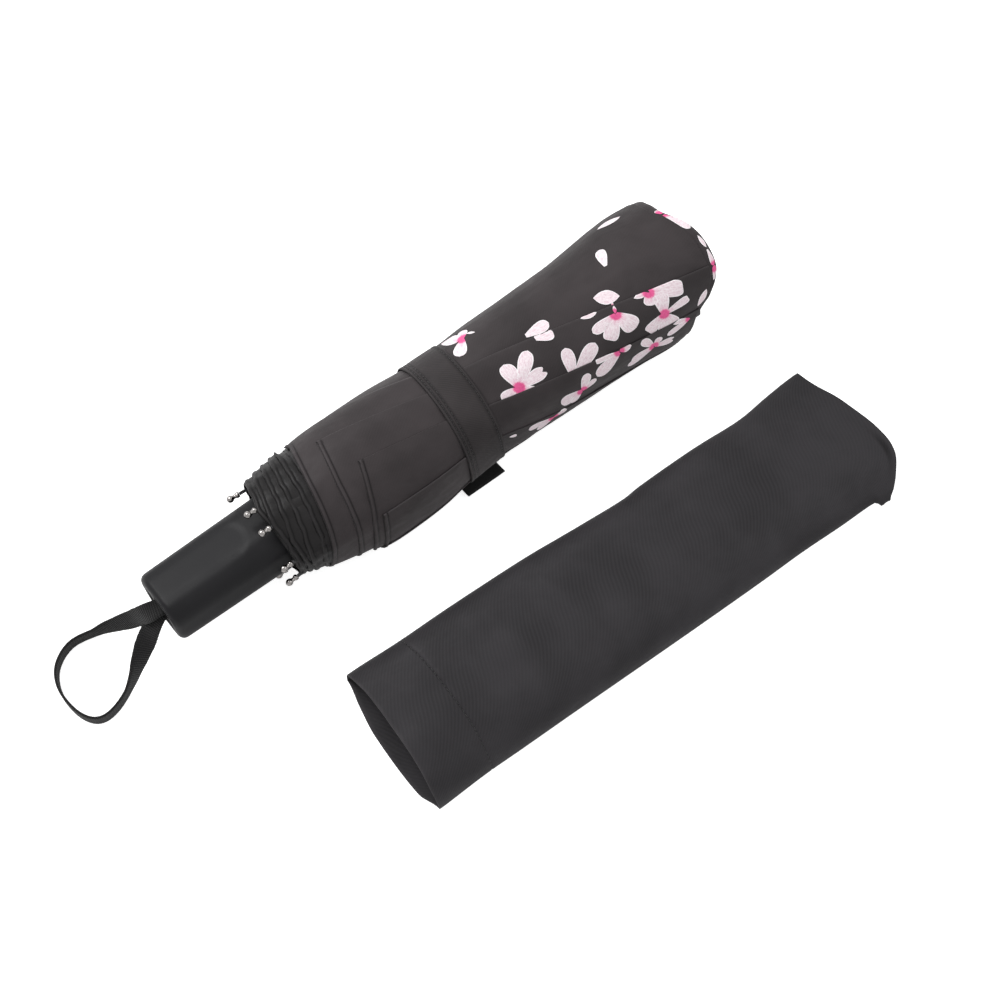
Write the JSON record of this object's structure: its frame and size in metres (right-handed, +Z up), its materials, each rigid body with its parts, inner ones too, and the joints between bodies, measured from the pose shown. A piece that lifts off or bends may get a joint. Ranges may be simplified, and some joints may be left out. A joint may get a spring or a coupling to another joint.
{
  "type": "folding umbrella",
  "caption": "Compact folding umbrella, closed, its printed canopy rolled and strapped, with telescoping shaft, folding ribs, wrist loop and a fabric sleeve beside it.",
  "frame": {"origin": "on the surface the umbrella lies on, straight below the shaft's axis, 150 mm from the handle's end, under the closure strap", "axes": "+X along the shaft from the handle towards the top, +Z up, +Y away from the sleeve"},
  "size_m": [0.3606, 0.1704, 0.0571],
  "materials": {
    "plated_steel": "satin plated",
    "rib_steel": "satin black lacquer",
    "rib_aluminium": "satin",
    "chrome_tip": "polished",
    "black_plastic": "semi gloss",
    "grip_plastic": "soft-touch matte",
    "cap_plastic": "matte",
    "canopy_cloth": "coated woven cloth with printed blossoms",
    "strap_cloth": "twill",
    "sleeve_cloth": "coated twill",
    "loop_webbing": "woven webbing"
  },
  "bodies": {
    "root": {"top_tube": "plated_steel", "top_tube_bush": "black_plastic", "top_notch": "black_plastic", "ferrule_cap": "black_plastic", "canopy_roll": "canopy_cloth", "closure_strap": "strap_cloth"},
    "middle_shaft": {"middle_tube": "plated_steel", "middle_tube_bush": "black_plastic"},
    "handle": {"lower_tube": "plated_steel", "handle_grip": "grip_plastic", "handle_end_cap": "cap_plastic", "loop_pin": "plated_steel", "loop_stub": "loop_webbing"},
    "wrist_loop": {"wrist_loop": "loop_webbing"},
    "runner": {"runner": "black_plastic"},
    "strap_tab": {"strap_tab": "strap_cloth"},
    "sleeve": {"sleeve": "sleeve_cloth"},
    "main_rib_1": {"main_rib_1": "rib_steel"},
    "stretcher_1": {"stretcher_1": "rib_steel"},
    "middle_rib_1": {"middle_rib_1": "rib_aluminium"},
    "outer_rib_1": {"outer_rib_1": "rib_steel", "rib_tip_1": "chrome_tip"},
    "main_rib_2": {"main_rib_2": "rib_steel"},
    "stretcher_2": {"stretcher_2": "rib_steel"},
    "middle_rib_2": {"middle_rib_2": "rib_aluminium"},
    "outer_rib_2": {"outer_rib_2": "rib_steel", "rib_tip_2": "chrome_tip"},
    "main_rib_3": {"main_rib_3": "rib_steel"},
    "stretcher_3": {"stretcher_3": "rib_steel"},
    "middle_rib_3": {"middle_rib_3": "rib_aluminium"},
    "outer_rib_3": {"outer_rib_3": "rib_steel", "rib_tip_3": "chrome_tip"},
    "main_rib_4": {"main_rib_4": "rib_steel"},
    "stretcher_4": {"stretcher_4": "rib_steel"},
    "middle_rib_4": {"middle_rib_4": "rib_aluminium"},
    "outer_rib_4": {"outer_rib_4": "rib_steel", "rib_tip_4": "chrome_tip"},
    "main_rib_5": {"main_rib_5": "rib_steel"},
    "stretcher_5": {"stretcher_5": "rib_steel"},
    "middle_rib_5": {"middle_rib_5": "rib_aluminium"},
    "outer_rib_5": {"outer_rib_5": "rib_steel", "rib_tip_5": "chrome_tip"},
    "main_rib_6": {"main_rib_6": "rib_steel"},
    "stretcher_6": {"stretcher_6": "rib_steel"},
    "middle_rib_6": {"middle_rib_6": "rib_aluminium"},
    "outer_rib_6": {"outer_rib_6": "rib_steel", "rib_tip_6": "chrome_tip"},
    "main_rib_7": {"main_rib_7": "rib_steel"},
    "stretcher_7": {"stretcher_7": "rib_steel"},
    "middle_rib_7": {"middle_rib_7": "rib_aluminium"},
    "outer_rib_7": {"outer_rib_7": "rib_steel", "rib_tip_7": "chrome_tip"},
    "main_rib_8": {"main_rib_8": "rib_steel"},
    "stretcher_8": {"stretcher_8": "rib_steel"},
    "middle_rib_8": {"middle_rib_8": "rib_aluminium"},
    "outer_rib_8": {"outer_rib_8": "rib_steel", "rib_tip_8": "chrome_tip"}
  },
  "joints": [
    {"name": "middle_tube_slide", "type": "slide", "parent": "root", "child": "middle_shaft", "axis": [-1, 0, 0], "range_m": [0, 0.14]},
    {"name": "lower_tube_slide", "type": "slide", "parent": "middle_shaft", "child": "handle", "axis": [-1, 0, 0], "range_m": [0, 0.132]},
    {"name": "wrist_loop_swing", "type": "hinge", "parent": "handle", "child": "wrist_loop", "pos_m": [-0.1562, 0, 0.0307], "axis": [0, 0.9613, -0.2756], "range_deg": [0, 110]},
    {"name": "runner_slide", "type": "slide", "parent": "root", "child": "runner", "axis": [1, 0, 0], "range_m": [0, 0.12945], "deforming": ["canopy_roll", "closure_strap"]},
    {"name": "strap_tab_lift", "type": "hinge", "parent": "root", "child": "strap_tab", "pos_m": [0, -0.013, 0], "axis": [-1, 0, 0], "range_deg": [0, 15]},
    {"name": "sleeve_slide", "type": "slide", "parent": "root", "child": "sleeve", "axis": [1, 0, 0], "range_m": [0, 0.3]},
    {"name": "main_rib_1_fold", "type": "hinge", "parent": "root", "child": "main_rib_1", "pos_m": [0.112, 0.00788, 0.03305], "axis": [0, 0.5, -0.866], "range_deg": [0, 85.05]},
    {"name": "stretcher_1_fold", "type": "hinge", "parent": "main_rib_1", "child": "stretcher_1", "pos_m": [0.037, 0.00615, 0.03205], "axis": [0, -0.5, 0.866], "range_deg": [0, 163.95]},
    {"name": "middle_rib_1_fold", "type": "hinge", "parent": "main_rib_1", "child": "middle_rib_1", "pos_m": [-0.052, 0.00827, 0.03327], "axis": [0, -0.5, 0.866], "range_deg": [0, 193.05]},
    {"name": "outer_rib_1_fold", "type": "hinge", "parent": "middle_rib_1", "child": "outer_rib_1", "pos_m": [0.102, 0.0097, 0.0341], "axis": [0, 0.5, -0.866], "range_deg": [0, 163.09]},
    {"name": "main_rib_2_fold", "type": "hinge", "parent": "root", "child": "main_rib_2", "pos_m": [0.112, 0.00235, 0.03729], "axis": [0, 0.9659, -0.2588], "range_deg": [0, 85.05]},
    {"name": "stretcher_2_fold", "type": "hinge", "parent": "main_rib_2", "child": "stretcher_2", "pos_m": [0.037, 0.00184, 0.03536], "axis": [0, -0.9659, 0.2588], "range_deg": [0, 163.95]},
    {"name": "middle_rib_2_fold", "type": "hinge", "parent": "main_rib_2", "child": "middle_rib_2", "pos_m": [-0.052, 0.00247, 0.03773], "axis": [0, -0.9659, 0.2588], "range_deg": [0, 193.05]},
    {"name": "outer_rib_2_fold", "type": "hinge", "parent": "middle_rib_2", "child": "outer_rib_2", "pos_m": [0.102, 0.0029, 0.03932], "axis": [0, 0.9659, -0.2588], "range_deg": [0, 163.09]},
    {"name": "main_rib_3_fold", "type": "hinge", "parent": "root", "child": "main_rib_3", "pos_m": [0.112, -0.00455, 0.03638], "axis": [0, 0.866, 0.5], "range_deg": [0, 85.05]},
    {"name": "stretcher_3_fold", "type": "hinge", "parent": "main_rib_3", "child": "stretcher_3", "pos_m": [0.037, -0.00355, 0.03465], "axis": [0, -0.866, -0.5], "range_deg": [0, 163.95]},
    {"name": "middle_rib_3_fold", "type": "hinge", "parent": "main_rib_3", "child": "middle_rib_3", "pos_m": [-0.052, -0.00477, 0.03677], "axis": [0, -0.866, -0.5], "range_deg": [0, 193.05]},
    {"name": "outer_rib_3_fold", "type": "hinge", "parent": "middle_rib_3", "child": "outer_rib_3", "pos_m": [0.102, -0.0056, 0.0382], "axis": [0, 0.866, 0.5], "range_deg": [0, 163.09]},
    {"name": "main_rib_4_fold", "type": "hinge", "parent": "root", "child": "main_rib_4", "pos_m": [0.112, -0.00879, 0.03086], "axis": [0, 0.2588, 0.9659], "range_deg": [0, 85.05]},
    {"name": "stretcher_4_fold", "type": "hinge", "parent": "main_rib_4", "child": "stretcher_4", "pos_m": [0.037, -0.00686, 0.03034], "axis": [0, -0.2588, -0.9659], "range_deg": [0, 163.95]},
    {"name": "middle_rib_4_fold", "type": "hinge", "parent": "main_rib_4", "child": "middle_rib_4", "pos_m": [-0.052, -0.00923, 0.03097], "axis": [0, -0.2588, -0.9659], "range_deg": [0, 193.05]},
    {"name": "outer_rib_4_fold", "type": "hinge", "parent": "middle_rib_4", "child": "outer_rib_4", "pos_m": [0.102, -0.01082, 0.0314], "axis": [0, 0.2588, 0.9659], "range_deg": [0, 163.09]},
    {"name": "main_rib_5_fold", "type": "hinge", "parent": "root", "child": "main_rib_5", "pos_m": [0.112, -0.00788, 0.02395], "axis": [0, -0.5, 0.866], "range_deg": [0, 85.05]},
    {"name": "stretcher_5_fold", "type": "hinge", "parent": "main_rib_5", "child": "stretcher_5", "pos_m": [0.037, -0.00615, 0.02495], "axis": [0, 0.5, -0.866], "range_deg": [0, 163.95]},
    {"name": "middle_rib_5_fold", "type": "hinge", "parent": "main_rib_5", "child": "middle_rib_5", "pos_m": [-0.052, -0.00827, 0.02372], "axis": [0, 0.5, -0.866], "range_deg": [0, 193.05]},
    {"name": "outer_rib_5_fold", "type": "hinge", "parent": "middle_rib_5", "child": "outer_rib_5", "pos_m": [0.102, -0.0097, 0.0229], "axis": [0, -0.5, 0.866], "range_deg": [0, 163.09]},
    {"name": "main_rib_6_fold", "type": "hinge", "parent": "root", "child": "main_rib_6", "pos_m": [0.112, -0.00235, 0.01971], "axis": [0, -0.9659, 0.2588], "range_deg": [0, 85.05]},
    {"name": "stretcher_6_fold", "type": "hinge", "parent": "main_rib_6", "child": "stretcher_6", "pos_m": [0.037, -0.00184, 0.02164], "axis": [0, 0.9659, -0.2588], "range_deg": [0, 163.95]},
    {"name": "middle_rib_6_fold", "type": "hinge", "parent": "main_rib_6", "child": "middle_rib_6", "pos_m": [-0.052, -0.00247, 0.01928], "axis": [0, 0.9659, -0.2588], "range_deg": [0, 193.05]},
    {"name": "outer_rib_6_fold", "type": "hinge", "parent": "middle_rib_6", "child": "outer_rib_6", "pos_m": [0.102, -0.0029, 0.01768], "axis": [0, -0.9659, 0.2588], "range_deg": [0, 163.09]},
    {"name": "main_rib_7_fold", "type": "hinge", "parent": "root", "child": "main_rib_7", "pos_m": [0.112, 0.00455, 0.02062], "axis": [0, -0.866, -0.5], "range_deg": [0, 85.05]},
    {"name": "stretcher_7_fold", "type": "hinge", "parent": "main_rib_7", "child": "stretcher_7", "pos_m": [0.037, 0.00355, 0.02235], "axis": [0, 0.866, 0.5], "range_deg": [0, 163.95]},
    {"name": "middle_rib_7_fold", "type": "hinge", "parent": "main_rib_7", "child": "middle_rib_7", "pos_m": [-0.052, 0.00477, 0.02023], "axis": [0, 0.866, 0.5], "range_deg": [0, 193.05]},
    {"name": "outer_rib_7_fold", "type": "hinge", "parent": "middle_rib_7", "child": "outer_rib_7", "pos_m": [0.102, 0.0056, 0.0188], "axis": [0, -0.866, -0.5], "range_deg": [0, 163.09]},
    {"name": "main_rib_8_fold", "type": "hinge", "parent": "root", "child": "main_rib_8", "pos_m": [0.112, 0.00879, 0.02615], "axis": [0, -0.2588, -0.9659], "range_deg": [0, 85.05]},
    {"name": "stretcher_8_fold", "type": "hinge", "parent": "main_rib_8", "child": "stretcher_8", "pos_m": [0.037, 0.00686, 0.02666], "axis": [0, 0.2588, 0.9659], "range_deg": [0, 163.95]},
    {"name": "middle_rib_8_fold", "type": "hinge", "parent": "main_rib_8", "child": "middle_rib_8", "pos_m": [-0.052, 0.00923, 0.02603], "axis": [0, 0.2588, 0.9659], "range_deg": [0, 193.05]},
    {"name": "outer_rib_8_fold", "type": "hinge", "parent": "middle_rib_8", "child": "outer_rib_8", "pos_m": [0.102, 0.01082, 0.0256], "axis": [0, -0.2588, -0.9659], "range_deg": [0, 163.09]}
  ],
  "couplings": [
    {"joint": "main_rib_1_fold", "follows": "runner_slide", "rad_per_m": 11.46},
    {"joint": "stretcher_1_fold", "follows": "runner_slide", "rad_per_m": 22.098},
    {"joint": "middle_rib_1_fold", "follows": "runner_slide", "rad_per_m": 26.022},
    {"joint": "outer_rib_1_fold", "follows": "runner_slide", "rad_per_m": 21.983},
    {"joint": "main_rib_2_fold", "follows": "runner_slide", "rad_per_m": 11.46},
    {"joint": "stretcher_2_fold", "follows": "runner_slide", "rad_per_m": 22.098},
    {"joint": "middle_rib_2_fold", "follows": "runner_slide", "rad_per_m": 26.022},
    {"joint": "outer_rib_2_fold", "follows": "runner_slide", "rad_per_m": 21.983},
    {"joint": "main_rib_3_fold", "follows": "runner_slide", "rad_per_m": 11.46},
    {"joint": "stretcher_3_fold", "follows": "runner_slide", "rad_per_m": 22.098},
    {"joint": "middle_rib_3_fold", "follows": "runner_slide", "rad_per_m": 26.022},
    {"joint": "outer_rib_3_fold", "follows": "runner_slide", "rad_per_m": 21.983},
    {"joint": "main_rib_4_fold", "follows": "runner_slide", "rad_per_m": 11.46},
    {"joint": "stretcher_4_fold", "follows": "runner_slide", "rad_per_m": 22.098},
    {"joint": "middle_rib_4_fold", "follows": "runner_slide", "rad_per_m": 26.022},
    {"joint": "outer_rib_4_fold", "follows": "runner_slide", "rad_per_m": 21.983},
    {"joint": "main_rib_5_fold", "follows": "runner_slide", "rad_per_m": 11.46},
    {"joint": "stretcher_5_fold", "follows": "runner_slide", "rad_per_m": 22.098},
    {"joint": "middle_rib_5_fold", "follows": "runner_slide", "rad_per_m": 26.022},
    {"joint": "outer_rib_5_fold", "follows": "runner_slide", "rad_per_m": 21.983},
    {"joint": "main_rib_6_fold", "follows": "runner_slide", "rad_per_m": 11.46},
    {"joint": "stretcher_6_fold", "follows": "runner_slide", "rad_per_m": 22.098},
    {"joint": "middle_rib_6_fold", "follows": "runner_slide", "rad_per_m": 26.022},
    {"joint": "outer_rib_6_fold", "follows": "runner_slide", "rad_per_m": 21.983},
    {"joint": "main_rib_7_fold", "follows": "runner_slide", "rad_per_m": 11.46},
    {"joint": "stretcher_7_fold", "follows": "runner_slide", "rad_per_m": 22.098},
    {"joint": "middle_rib_7_fold", "follows": "runner_slide", "rad_per_m": 26.022},
    {"joint": "outer_rib_7_fold", "follows": "runner_slide", "rad_per_m": 21.983},
    {"joint": "main_rib_8_fold", "follows": "runner_slide", "rad_per_m": 11.46},
    {"joint": "stretcher_8_fold", "follows": "runner_slide", "rad_per_m": 22.098},
    {"joint": "middle_rib_8_fold", "follows": "runner_slide", "rad_per_m": 26.022},
    {"joint": "outer_rib_8_fold", "follows": "runner_slide", "rad_per_m": 21.983}
  ]
}
